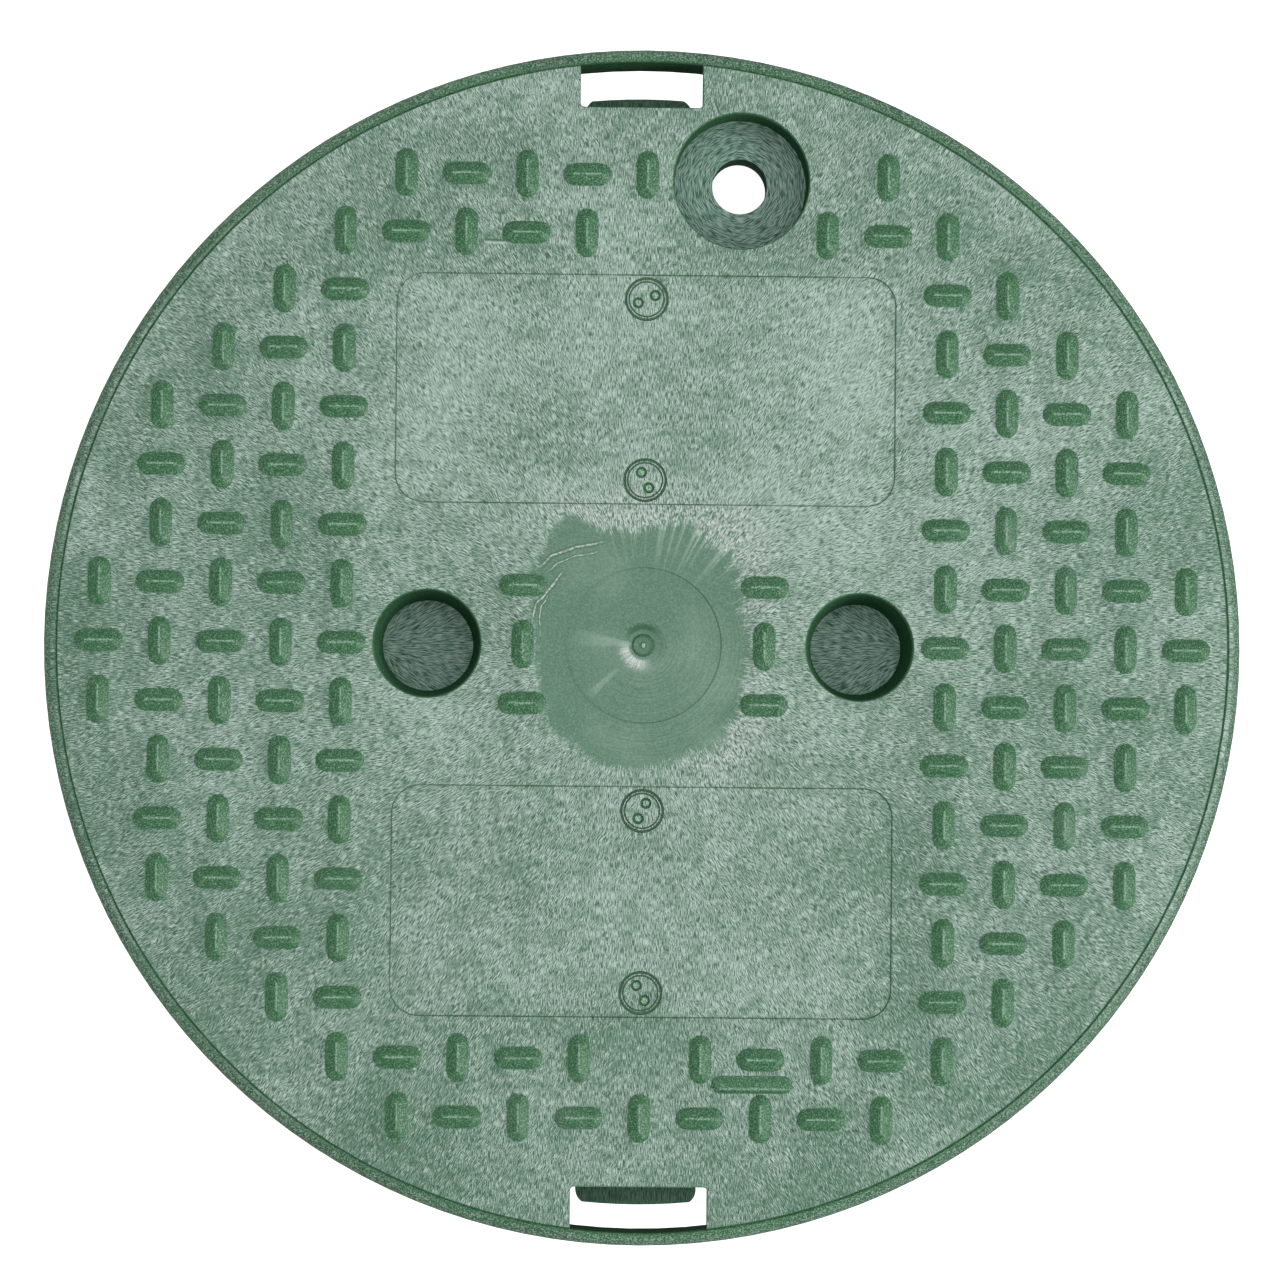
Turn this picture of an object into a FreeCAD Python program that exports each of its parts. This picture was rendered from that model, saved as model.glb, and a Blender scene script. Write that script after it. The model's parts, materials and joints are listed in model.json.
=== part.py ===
"""Round cover for a cable pit, moulded in one piece of green plastic.

Millimetres, +Z up. The origin is on the cover's axis in the plane of the skirt's foot, so the
cover stands on its skirt and the tread deck is uppermost. +Y points at the slot beside the bolt
recess.
"""
import FreeCAD, Part
import math
import os

from FreeCAD import Vector

# Turned body: deck, rim wall and the skirt that drops into the pit's neck
COVER_RADIUS = 126.0
OVERALL_DEPTH = 38.0
DECK_THICKNESS = 4.0
RIM_DEPTH = 15.0
RIM_WALL = 2.7
RIM_BANDS = 3
CHANNEL_WIDTH = 10.0
SKIRT_WALL = 3.2

# Fine V groove where the deck insert of the mould meets the rim
SEAM_WIDTH = 0.5
SEAM_DEPTH = 0.3

# Ribs under the deck
HUB_RADIUS = 14.5
RIB_RING_RADIUS = 52.0
RIB_THICKNESS = 2.5
RIB_COUNT = 12
RIB_DEPTH_HUB = 17.0
RIB_DEPTH_SKIRT = 13.0

# Two blind lifting sockets, one each side of the middle
SOCKET_OFFSET = 45.5
SOCKET_MOUTH_RADIUS = 11.3
SOCKET_TAPER = 1.7
SOCKET_DEPTH = 15.0
SOCKET_WALL = 2.5

# Counterbored hole for the bolt that locks the cover down
BOLT_FROM_RIM = 23.1
BOLT_ANGLE_DEG = 78.6
BOLT_HOLE_RADIUS = 5.85
BOLT_HOLE_LENGTH = 10.5
RECESS_RADIUS = 14.35
RECESS_DEPTH = 10.5
RECESS_WALL = 2.5
RECESS_TAPER = 0.3
RECESS_FLOOR = 3.0
BOLT_TUBE_WALL = 3.2

# Slots through the deck, with the catch lugs that stand out of the skirt below them
SLOT_SETBACK = 0.3
SLOT_CORNER = 0.8
FRONT_SLOT_LEFT = -14.4
FRONT_SLOT_RIGHT = 14.3
BACK_SLOT_LEFT = -14.3
BACK_SLOT_RIGHT = 11.5
LUG_SIDE_GAP = 1.4
LUG_STAND_OUT = 6.0
LUG_FOOT = 1.4
LUG_RAMP = 5.0
LUG_NOSE = 1.6
LUG_CORNER = 3.2

# Tread bars: hipped bars on a lattice, turned a quarter from one place to the next
COLUMN_PITCH = 12.7
ROW_PITCH = 12.4
BAR_LENGTH = 10.2
BAR_WIDTH = 4.6
BAR_HEIGHT = 1.5
BAR_CREST = 0.8
END_FLATS = 3
TREAD_MARGIN = 8.05
PLATE_CLEARANCE = 2.0
GATE_BAR_COLUMN = 2
GATE_BAR_ROWS = 1
OPEN_ROW = 7
RECESS_CLEARANCE = 2.5

# One long low bar beside the front slot
LONG_BAR_X = 23.4
LONG_BAR_Y = -92.1
LONG_BAR_LENGTH = 17.7
LONG_BAR_WIDTH = 4.3
LONG_BAR_HEIGHT = 1.0
LONG_BAR_CREST = 0.6
LONG_BAR_CREST_SHIFT = -0.9

# Bare label plates and the gate's round insert, each let in a little below the deck
PLATE_WIDTH = 105.4
PLATE_HEIGHT = 48.6
PLATE_OFFSET = 53.9
PLATE_CORNER = 6.1
INSERT_STEP = 0.25
GATE_INSERT_RADIUS = 16.3
GATE_DISH_RADIUS = 4.8
GATE_DISH_DEPTH = 0.6
GATE_FLOOR_RADIUS = 2.5

SINK = 0.4

DECK_TOP = OVERALL_DEPTH
DECK_UNDERSIDE = DECK_TOP - DECK_THICKNESS
RIM_FOOT = DECK_TOP - RIM_DEPTH
RIM_INSIDE = COVER_RADIUS - RIM_WALL
RIM_ROUND = RIM_WALL - SEAM_WIDTH / 2
SKIRT_RADIUS = RIM_INSIDE - CHANNEL_WIDTH
SKIRT_INSIDE = SKIRT_RADIUS - SKIRT_WALL
SLOT_INNER_REACH = SKIRT_RADIUS + SLOT_SETBACK
BOLT_CIRCLE_RADIUS = RIM_INSIDE - BOLT_FROM_RIM
BOLT_X = BOLT_CIRCLE_RADIUS * math.cos(math.radians(BOLT_ANGLE_DEG))
BOLT_Y = BOLT_CIRCLE_RADIUS * math.sin(math.radians(BOLT_ANGLE_DEG))
UP = Vector(0, 0, 1)


def turned(points):
    """Solid turned round the axis from a closed outline of (radius, height) points."""
    corners = [Vector(radius, 0, height) for radius, height in points]
    outline = Part.Face(Part.makePolygon(corners + corners[:1]))
    return outline.revolve(Vector(0, 0, 0), UP, 360)


def bar_outline(length, width, height):
    """Corners of a bar's outline along X at a height, its round ends cut as END_FLATS flats."""
    radius = width / 2
    corners = []
    for side in (1, -1):
        centre = side * (length / 2 - radius)
        for step in range(END_FLATS + 1):
            angle = math.radians(-90 + step * 180 / END_FLATS)
            corners.append(Vector(centre + side * radius * math.cos(angle),
                                  side * radius * math.sin(angle), height))
    return corners


def solid_of(faces):
    """Solid inside flat faces, each given as its corners."""
    sides = [Part.Face(Part.makePolygon(list(corners) + [corners[0]])) for corners in faces]
    return Part.Solid(Part.Shell(sides))


def rounded_rectangle(width, height, corner, level):
    """Closed wire of a rectangle with rounded corners, centred on the axis at a level."""
    x = width / 2 - corner
    y = height / 2 - corner
    edges = []
    for quarter, (cx, cy) in enumerate([(x, y), (-x, y), (-x, -y), (x, -y)]):
        edges.append(Part.makeCircle(corner, Vector(cx, cy, level), UP,
                                     90 * quarter, 90 * quarter + 90))
    ring = []
    for quarter, arc in enumerate(edges):
        following = edges[(quarter + 1) % 4]
        ring.append(arc)
        ring.append(Part.makeLine(arc.valueAt(arc.LastParameter),
                                  following.valueAt(following.FirstParameter)))
    return Part.Wire(ring)


def rim_edge():
    """Outline points of the rim's rounded edge, from the deck down, as RIM_BANDS flat bands."""
    points = []
    for step in range(RIM_BANDS + 1):
        angle = math.radians(90 - step * 90 / RIM_BANDS)
        points.append((COVER_RADIUS - RIM_ROUND + RIM_ROUND * math.cos(angle),
                       DECK_TOP - RIM_ROUND + RIM_ROUND * math.sin(angle)))
    return points


def turned_body():
    """Deck, rim wall and skirt as one turned solid, with the seam groove round the deck."""
    deck = [(0, DECK_TOP),
            (RIM_INSIDE - SEAM_WIDTH / 2, DECK_TOP),
            (RIM_INSIDE, DECK_TOP - SEAM_DEPTH)]
    rim = [(COVER_RADIUS, RIM_FOOT),
           (RIM_INSIDE, RIM_FOOT),
           (RIM_INSIDE, DECK_UNDERSIDE)]
    skirt = [(SKIRT_RADIUS, DECK_UNDERSIDE),
             (SKIRT_RADIUS, 0),
             (SKIRT_INSIDE, 0),
             (SKIRT_INSIDE, DECK_UNDERSIDE)]
    return turned(deck + rim_edge() + rim + skirt + [(0, DECK_UNDERSIDE)])


def ring(outside, wall, top, bottom):
    """Plain turned ring."""
    return turned([(outside - wall, top), (outside, top), (outside, bottom),
                   (outside - wall, bottom)])


def rib_depth(radius):
    """How deep a rib stands below the deck at a radius: deepest at the hub."""
    share = (radius - HUB_RADIUS) / (SKIRT_INSIDE - HUB_RADIUS)
    return RIB_DEPTH_HUB + share * (RIB_DEPTH_SKIRT - RIB_DEPTH_HUB)


def radial_rib(angle_deg, start, end):
    """One upright rib along a radius, its lower edge rising towards the skirt."""
    half = RIB_THICKNESS / 2
    side = [Vector(start, -half, DECK_UNDERSIDE + SINK),
            Vector(end, -half, DECK_UNDERSIDE + SINK),
            Vector(end, -half, DECK_UNDERSIDE - rib_depth(end)),
            Vector(start, -half, DECK_UNDERSIDE - rib_depth(start))]
    rib = Part.Face(Part.makePolygon(side + side[:1])).extrude(Vector(0, RIB_THICKNESS, 0))
    rib.rotate(Vector(0, 0, 0), UP, angle_deg)
    return rib


def ribs():
    """Hub, rib ring and the ribs that run from the hub out to the skirt."""
    reach = SKIRT_INSIDE + SINK
    top = DECK_UNDERSIDE + SINK
    pieces = [ring(HUB_RADIUS, RIB_THICKNESS, top, DECK_UNDERSIDE - rib_depth(HUB_RADIUS)),
              ring(RIB_RING_RADIUS, RIB_THICKNESS, top,
                   DECK_UNDERSIDE - rib_depth(RIB_RING_RADIUS))]
    for number in range(RIB_COUNT):
        pieces.append(radial_rib((number + 0.5) * 360 / RIB_COUNT,
                                 HUB_RADIUS - RIB_THICKNESS / 2, reach))
    return pieces


def socket_boss(x):
    """Cup wall and floor round a lifting socket, under the deck."""
    depth = SOCKET_DEPTH + SOCKET_WALL
    return Part.makeCylinder(SOCKET_MOUTH_RADIUS + SOCKET_WALL, depth - SINK,
                             Vector(x, 0, DECK_TOP - depth), UP)


def socket_hollow(x):
    """Drafted blind socket, open at the deck."""
    return Part.makeCone(SOCKET_MOUTH_RADIUS - SOCKET_TAPER, SOCKET_MOUTH_RADIUS, SOCKET_DEPTH,
                         Vector(x, 0, DECK_TOP - SOCKET_DEPTH), UP)


def bolt_boss():
    """Cup round the bolt recess with the tube that carries the bolt hole below it."""
    cup_depth = RECESS_DEPTH + RECESS_FLOOR
    cup = Part.makeCylinder(RECESS_RADIUS + RECESS_WALL, cup_depth - SINK,
                            Vector(BOLT_X, BOLT_Y, DECK_TOP - cup_depth), UP)
    tube = Part.makeCylinder(BOLT_HOLE_RADIUS + BOLT_TUBE_WALL, BOLT_HOLE_LENGTH - SINK,
                             Vector(BOLT_X, BOLT_Y,
                                    DECK_TOP - RECESS_DEPTH - BOLT_HOLE_LENGTH), UP)
    return [cup, tube]


def bolt_hollow():
    """Recess for the bolt's head and the clearance hole for its shank."""
    recess = Part.makeCone(RECESS_RADIUS - RECESS_TAPER, RECESS_RADIUS, RECESS_DEPTH,
                           Vector(BOLT_X, BOLT_Y, DECK_TOP - RECESS_DEPTH), UP)
    hole = Part.makeCylinder(BOLT_HOLE_RADIUS, BOLT_HOLE_LENGTH + 2 * SINK,
                             Vector(BOLT_X, BOLT_Y,
                                    DECK_TOP - RECESS_DEPTH - BOLT_HOLE_LENGTH - SINK), UP)
    return [recess, hole]


def slot_hollow(left, right, turn_deg):
    """Opening through the deck against the rim wall, its far side an arc of the rim."""
    outline = Part.makeBox(right - left, RIM_INSIDE - SLOT_INNER_REACH + SINK,
                           DECK_THICKNESS + 2 * SINK,
                           Vector(left, SLOT_INNER_REACH, DECK_UNDERSIDE - SINK))
    inner_edges = [edge for edge in outline.Edges
                   if edge.BoundBox.ZLength > DECK_THICKNESS
                   and edge.BoundBox.YMax < SLOT_INNER_REACH + SINK]
    outline = outline.makeFillet(SLOT_CORNER, inner_edges)
    inside_rim = Part.makeCylinder(RIM_INSIDE, OVERALL_DEPTH + SINK)
    hollow = outline.common(inside_rim)
    hollow.rotate(Vector(0, 0, 0), UP, turn_deg)
    return hollow


def catch_lug(left, right, turn_deg):
    """Lug out of the skirt under a slot: flat on top, with a ramp below to snap past the neck."""
    nose = LUG_FOOT + LUG_RAMP
    top = nose + LUG_NOSE
    reach = SKIRT_RADIUS + LUG_STAND_OUT
    root = SKIRT_RADIUS - SKIRT_WALL / 2
    section = turned([(root, top), (reach, top), (reach, nose),
                      (SKIRT_RADIUS, LUG_FOOT), (root, LUG_FOOT)])
    low = left + LUG_SIDE_GAP
    high = right - LUG_SIDE_GAP
    plan = Part.makeBox(high - low, reach - root, top - LUG_FOOT + 2 * SINK,
                        Vector(low, root, LUG_FOOT - SINK))
    outer_edges = [edge for edge in plan.Edges
                   if edge.BoundBox.ZLength > top - LUG_FOOT
                   and edge.BoundBox.YMin > reach - SINK]
    plan = plan.makeFillet(LUG_CORNER, outer_edges)
    lug = section.common(plan)
    lug.rotate(Vector(0, 0, 0), UP, turn_deg)
    return lug


def hipped_bar(length, width, height, crest, crest_shift=0.0):
    """Bar along X whose flanks and round ends slope up to a narrow flat crest."""
    flank = (width - crest) / 2
    sunk = flank * SINK / height
    foot = bar_outline(length + 2 * sunk, width + 2 * sunk, DECK_TOP - SINK)
    half_crest = (length - width) / 2
    corners = [Vector(end * half_crest, side * crest / 2 + crest_shift, DECK_TOP + height)
               for end, side in ((1, -1), (1, 1), (-1, 1), (-1, -1))]
    faces = [foot, corners]
    middle = END_FLATS // 2
    for end in (0, 1):
        first = end * (END_FLATS + 1)
        near, far = corners[2 * end], corners[2 * end + 1]
        for step in range(END_FLATS):
            peak = near if step < middle else far
            faces.append((foot[first + step], foot[first + step + 1], peak))
        faces.append((foot[first + middle], far, near))
        last = foot[first + END_FLATS]
        following = foot[(first + END_FLATS + 1) % len(foot)]
        faces.append((last, following, corners[(2 * end + 2) % 4], far))
    return solid_of(faces)


def in_window(column, row):
    """The middle of the deck is kept clear of bars for the plates, sockets and gate."""
    reach = BAR_LENGTH / 2 + PLATE_CLEARANCE
    across = abs(column * COLUMN_PITCH) < PLATE_WIDTH / 2 + reach
    along = abs(row * ROW_PITCH) < PLATE_OFFSET + PLATE_HEIGHT / 2 + reach
    beside_gate = abs(column) == GATE_BAR_COLUMN and abs(row) <= GATE_BAR_ROWS
    return across and along and not beside_gate


def clears_recess(x, y, upright):
    """True where a bar keeps its distance from the bolt recess."""
    across = abs(x - BOLT_X)
    along = abs(y - BOLT_Y)
    straight = (BAR_LENGTH - BAR_WIDTH) / 2
    if upright:
        along = max(0, along - straight)
    else:
        across = max(0, across - straight)
    gap = math.hypot(across, along) - BAR_WIDTH / 2 - RECESS_RADIUS
    return gap > RECESS_CLEARANCE


def tread_places():
    """Centre of each tread bar and whether it stands upright or lies across."""
    tread_radius = RIM_INSIDE - TREAD_MARGIN
    columns = int(tread_radius / COLUMN_PITCH)
    rows = int((SLOT_INNER_REACH - BAR_LENGTH / 2) / ROW_PITCH)
    places = []
    for row in range(-rows, rows + 1):
        for column in range(-columns, columns + 1):
            x = column * COLUMN_PITCH
            y = row * ROW_PITCH
            upright = (column + row) % 2 == 0
            open_place = column == 0 and abs(row) == OPEN_ROW
            if math.hypot(x, y) > tread_radius or in_window(column, row) or open_place:
                continue
            if clears_recess(x, y, upright):
                places.append((x, y, upright))
    return places


def tread_bars():
    """All the bars of the tread."""
    lying = hipped_bar(BAR_LENGTH, BAR_WIDTH, BAR_HEIGHT, BAR_CREST)
    bars = []
    for x, y, upright in tread_places():
        bar = lying.copy()
        if upright:
            bar.rotate(Vector(0, 0, 0), UP, 90)
        bar.translate(Vector(x, y, 0))
        bars.append(bar)
    long_bar = hipped_bar(LONG_BAR_LENGTH, LONG_BAR_WIDTH, LONG_BAR_HEIGHT, LONG_BAR_CREST,
                          LONG_BAR_CREST_SHIFT)
    long_bar.translate(Vector(LONG_BAR_X, LONG_BAR_Y, 0))
    bars.append(long_bar)
    return bars


def plate_hollow(centre_y):
    """What is taken off the deck at a bare label plate."""
    wire = rounded_rectangle(PLATE_WIDTH, PLATE_HEIGHT, PLATE_CORNER, DECK_TOP - INSERT_STEP)
    hollow = Part.Face(wire).extrude(Vector(0, 0, INSERT_STEP + SINK))
    hollow.translate(Vector(0, centre_y, 0))
    return hollow


def gate_hollow():
    """Round insert's step, with the shallow dish that keeps the gate mark below the tread."""
    insert = DECK_TOP - INSERT_STEP
    return turned([(0, DECK_TOP + SINK), (GATE_INSERT_RADIUS, DECK_TOP + SINK),
                   (GATE_INSERT_RADIUS, insert), (GATE_DISH_RADIUS, insert),
                   (GATE_FLOOR_RADIUS, insert - GATE_DISH_DEPTH),
                   (0, insert - GATE_DISH_DEPTH)])


def cover():
    """The whole moulding."""
    slots = [(BACK_SLOT_LEFT, BACK_SLOT_RIGHT, 0), (FRONT_SLOT_LEFT, FRONT_SLOT_RIGHT, 180)]
    bosses = bolt_boss() + [socket_boss(x) for x in (-SOCKET_OFFSET, SOCKET_OFFSET)]
    body = turned_body().fuse(ribs() + bosses)
    body = body.fuse(tread_bars() + [catch_lug(*slot) for slot in slots])
    hollows = bolt_hollow() + [socket_hollow(x) for x in (-SOCKET_OFFSET, SOCKET_OFFSET)]
    hollows += [slot_hollow(*slot) for slot in slots]
    inserts = [plate_hollow(PLATE_OFFSET), plate_hollow(-PLATE_OFFSET), gate_hollow()]
    return body.cut(hollows + inserts)


def main():
    os.makedirs("parts", exist_ok=True)
    shape = cover()
    if len(shape.Solids) != 1 or not shape.isValid():
        raise ValueError("the cover is not one sound solid")
    shape.Solids[0].exportStep("parts/cover.step")
    print("bars", len(tread_places()), "volume cm3", round(shape.Volume / 1000, 1))


main()
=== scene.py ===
"""Looks of a round cable pit cover: one green plastic moulding seen from above.

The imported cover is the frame. Its walls and underside are kept as they are, and the deck is made
again with soft-edged tread bars, inset label plates, key plugs and the mark of the moulding gate.
Lengths are metres, +Z is up, and the origin is on the cover's axis in the plane of its foot.
"""
import json
import math

import bmesh
import bpy
import numpy as np
from bpy.props import FloatProperty, FloatVectorProperty, IntProperty, PointerProperty
from mathutils import Matrix, Vector
from mathutils.geometry import delaunay_2d_cdt


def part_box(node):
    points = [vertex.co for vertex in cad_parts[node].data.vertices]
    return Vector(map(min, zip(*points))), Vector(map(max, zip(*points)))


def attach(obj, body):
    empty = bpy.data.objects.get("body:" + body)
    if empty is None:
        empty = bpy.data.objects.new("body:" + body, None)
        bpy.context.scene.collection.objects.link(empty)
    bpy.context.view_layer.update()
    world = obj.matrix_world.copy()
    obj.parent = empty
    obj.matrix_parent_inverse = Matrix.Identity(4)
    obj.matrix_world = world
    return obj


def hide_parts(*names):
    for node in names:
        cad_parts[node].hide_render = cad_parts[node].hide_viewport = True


bl_info = {
    "name": "Cable Pit Cover",
    "version": (1, 0, 0),
    "blender": (4, 5, 0),
    "location": "3D View > Sidebar > Pit Cover",
    "description": "Dresses a moulded pit cover and sets its stage",
    "category": "Object",
}

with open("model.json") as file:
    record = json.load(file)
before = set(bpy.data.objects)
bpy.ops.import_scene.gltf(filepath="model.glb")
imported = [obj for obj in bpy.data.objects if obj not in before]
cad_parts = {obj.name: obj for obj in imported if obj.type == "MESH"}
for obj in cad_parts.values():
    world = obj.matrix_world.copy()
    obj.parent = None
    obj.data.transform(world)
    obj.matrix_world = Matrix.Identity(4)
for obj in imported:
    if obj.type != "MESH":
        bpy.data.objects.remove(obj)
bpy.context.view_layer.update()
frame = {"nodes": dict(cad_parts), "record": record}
MM = 0.001

NODE = "cover"
LOW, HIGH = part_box(NODE)
COVER_RADIUS = HIGH.x
MOUNTS = {mount["name"]: mount for mount in frame["record"]["mounts"]}
BOLT_X, BOLT_Y = MOUNTS["bolt_hole"]["pos_m"][:2]

DECK_BITE = 1.0 * MM
WELD = 0.002 * MM
# How bright the painted highlight on the front slot's lip is, and how near the seam a corner
# counts as on it.
FRONT_LIP_HIGHLIGHT = 3.0
NEAR = 0.05 * MM
# The one long low bar beside the front slot: its middle, and length, width and height.
LONG_BAR_PLACE = (23.6 * MM, -91.92 * MM)
LONG_BAR_SIZE = (17.2 * MM, 3.7 * MM, 1.0 * MM)
# Key plugs: place up the centre line in mm, and spacing and heading of their two dimples.
PLUGS = ((73.0, 3.9, 24.0), (34.8, 3.6, -64.0), (-34.8, 3.6, 63.6), (-73.0, 3.6, -61.0))

# Places that the plastic's skin is drawn by, in mm from the middle: the sockets' centres and outer
# sides, the label plates' centres and the seam.
SOCKET_PLACE = 45.5
SOCKET_OUTSIDE = 57.5
PLATE_PLACE = 53.9
SEAM_REACH = 123.2
# Fine dark lines in the skin, a scuff between two bars and a weld line by the recess: their ends
# on the deck in mm, and how dark the line is and how pale the one below it.
SKIN_LINES = (
    ((-34.6, 85.25), (-29.4, 85.0), 0.80, 0.70),
    ((13.7, 116.0), (15.1, 112.2), 0.90, 0.35),
)
# Folds in the skin at the gate patch: radius in mm, its change per radian, middle bearing and half
# its spread in radians, and half its width in mm.
FOLDS = (
    (26.7, 9.0, 2.23, 0.32, 0.30),
    (25.0, 8.0, 2.26, 0.26, 0.20),
    (24.6, 1.5, 2.68, 0.30, 0.26),
    (23.4, -3.0, 2.86, 0.22, 0.17),
)
# Where the smooth patch about the gate reaches further out: heading in degrees, the cosines where
# the bulge starts and is full, and how much further in mm.
PATCH_BULGES = (
    (133.0, 0.91, 0.995, 5.5),
    (108.0, 0.80, 1.000, 1.5),
    (57.0, 0.88, 0.990, 3.0),
    (0.0, 0.88, 1.000, -1.5),
    (-80.0, 0.70, 0.980, 2.0),
    (-125.0, 0.85, 0.990, 2.0),
)
# Cloudy places on the deck: centre, inner and outer radius in mm, and how much paler it is there.
PALE_SPOTS = (
    ((51.0, 18.0), 5.0, 42.0, 0.20),
    ((-40.0, 60.0), 5.0, 40.0, 0.06),
    ((-105.0, -12.0), 5.0, 40.0, -0.05),
    ((-45.0, -22.0), 4.0, 26.0, 0.08),
    ((-15.0, 48.0), 4.0, 22.0, -0.12),
    ((-33.0, -50.0), 4.0, 26.0, -0.12),
    ((5.0, -113.0), 4.0, 34.0, 0.10),
    ((-34.0, -111.0), 4.0, 18.0, 0.12),
    ((-32.0, 106.0), 4.0, 17.0, -0.13),
    ((22.0, 106.0), 4.0, 18.0, 0.10),
    ((22.0, 50.0), 5.0, 48.0, 0.07),
)


def length(name, description, default):
    """A length that a user may change."""
    return FloatProperty(name=name, description=description, default=default, min=0.0,
                         unit="LENGTH", precision=5)


def colour(name, description, default):
    """A colour that a user may change."""
    return FloatVectorProperty(name=name, description=description, default=default, size=3,
                               min=0.0, max=1.0, subtype="COLOR")


class PITCOVER_PG_tread(bpy.types.PropertyGroup):
    """Sizes of the raised tread bars."""
    column_pitch: length("Column Pitch", "From one column of bars to the next", 12.7 * MM)
    row_pitch: length("Row Pitch", "From one row of bars to the next", 12.4 * MM)
    bar_length: length("Bar Length", "Length of a bar at its foot", 10.2 * MM)
    bar_width: length("Bar Width", "Width of a bar at its foot", 4.6 * MM)
    bar_height: length("Bar Height", "How far a bar stands above the deck", 1.5 * MM)
    edge_margin: length("Edge Margin", "From the rim's inside to the outermost places", 8.05 * MM)
    plate_clearance: length("Plate Clearance", "Clear deck round the label plates", 2.0 * MM)
    recess_clearance: length("Recess Clearance", "Clear deck round the bolt recess", 2.5 * MM)
    rows: IntProperty(name="Rows", description="Rows of bars on each side of the middle",
                      default=8, min=1)


class PITCOVER_PG_deck(bpy.types.PropertyGroup):
    """Sizes of the flat features of the deck."""
    rim_wall: length("Rim Wall", "Thickness of the rim", 2.7 * MM)
    recess_radius: length("Recess Radius", "Mouth of the bolt recess", 14.35 * MM)
    plate_width: length("Plate Width", "Label plate, left to right", 105.4 * MM)
    plate_height: length("Plate Height", "Label plate, front to back", 48.6 * MM)
    plate_offset: length("Plate Offset", "Plate's centre from the middle", 53.9 * MM)
    plate_corner: length("Plate Corner", "Corner radius of a plate", 6.1 * MM)
    insert_step: length("Insert Step", "How far plates and gate insert lie below", 0.25 * MM)
    gate_radius: length("Gate Insert Radius", "Round insert about the gate", 16.3 * MM)
    dish_radius: length("Gate Dish Radius", "Mouth of the gate dish", 4.8 * MM)
    dish_floor: length("Dish Floor Radius", "Flat floor of the gate dish", 2.5 * MM)
    dish_depth: length("Dish Depth", "Depth of the gate dish", 0.6 * MM)
    plug_radius: length("Plug Radius", "Outside of a key plug's ring", 4.60 * MM)
    mouth_round: length("Mouth Round", "Soft edge of sockets and recess", 0.30 * MM)
    slot_round: length("Slot Round", "Soft edge of the slots", 0.25 * MM)
    seam_round: length("Seam Round", "Soft edge of the seam groove", 0.1 * MM)


class PITCOVER_PG_finish(bpy.types.PropertyGroup):
    """Colours of the moulded plastic, and of the shade and highlights painted on it."""
    bar: colour("Bar", "Plain skin of the tread bars", (0.078, 0.235, 0.108))
    wall: colour("Wall", "Plain skin of walls and underside", (0.024, 0.120, 0.044))
    # Field and strand are the deck's own strands with, partly, a painted sheen of the overhead
    # light on flat faces; slopes show plain green instead.
    field: colour("Field", "Deck between strands", (0.192, 0.328, 0.246))
    strand: colour("Strand", "Pale strands in the skin", (0.530, 0.672, 0.600))
    shade: colour("Strand Shade", "Dark gaps between strands", (0.046, 0.140, 0.078))
    # Painted shade: the dark green on the walls of sockets, recess and slots and in small grooves.
    hollow_shade: colour("Hollow", "Walls of sockets and recess", (0.008, 0.052, 0.018))
    floor: colour("Sunk Floor", "Floors of sockets and recess", (0.192, 0.355, 0.278))
    floor_shade: colour("Floor Shade", "Dark gaps on sunk floors", (0.036, 0.122, 0.080))
    gate: colour("Gate Skin", "Smooth skin about the gate", (0.083, 0.215, 0.130))
    glint: colour("Glint", "Bright folds about the gate", (0.74, 0.80, 0.77))
    # Painted highlight: the pale green along bar crests and hips, the front slot's lip, the plugs'
    # dimples and the gate's nub.
    crest_highlight: colour("Crest", "Rubbed edges of bars and plugs", (0.400, 0.660, 0.480))


class PITCOVER_PG_stage(bpy.types.PropertyGroup):
    """Camera, lights and floor."""
    camera_place: FloatVectorProperty(
        name="Camera Place", description="Where the camera stands", size=3,
        default=(-0.02565, -0.0384, 1.172), subtype="TRANSLATION", unit="LENGTH")
    camera_aim: FloatVectorProperty(
        name="Camera Aim", description="Point on the deck in the middle of the view", size=3,
        default=(-0.00074, 0.00111, 0.038), subtype="TRANSLATION", unit="LENGTH")
    camera_roll: FloatProperty(name="Camera Roll", description="Turn about the line of sight",
                               default=math.radians(0.54), subtype="ANGLE")
    focal_length: FloatProperty(name="Focal Length", description="Lens on a 36 mm frame",
                                default=151.84, min=1.0, unit="CAMERA")
    key_power: FloatProperty(name="Key Power", description="Soft light from the front right",
                             default=7.5, min=0.0, unit="POWER")
    top_power: FloatProperty(name="Top Power", description="Wide soft light overhead",
                             default=10.5, min=0.0, unit="POWER")
    air_light: FloatProperty(name="Air Light", description="Strength of the light all round",
                             default=0.40, min=0.0)
    floor_glow: FloatProperty(name="Floor Glow", description="Own light of the white floor",
                              default=1.0, min=0.0)


def circle(centre, radius, count):
    """Points round a circle, anticlockwise: centre plus radius times (cos, sin) of even angles."""
    turn = np.linspace(0, 2 * math.pi, count, endpoint=False)
    return np.asarray(centre) + radius * np.stack([np.cos(turn), np.sin(turn)], axis=1)


def stadium(half_straight, radius, flats):
    """Points round a stadium along X: a half circle of even chords at each end of the straight."""
    turn = np.radians(np.linspace(-90, 90, flats + 1))
    end = np.stack([half_straight + radius * np.cos(turn), radius * np.sin(turn)], axis=1)
    return np.concatenate([end, -end])


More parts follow.
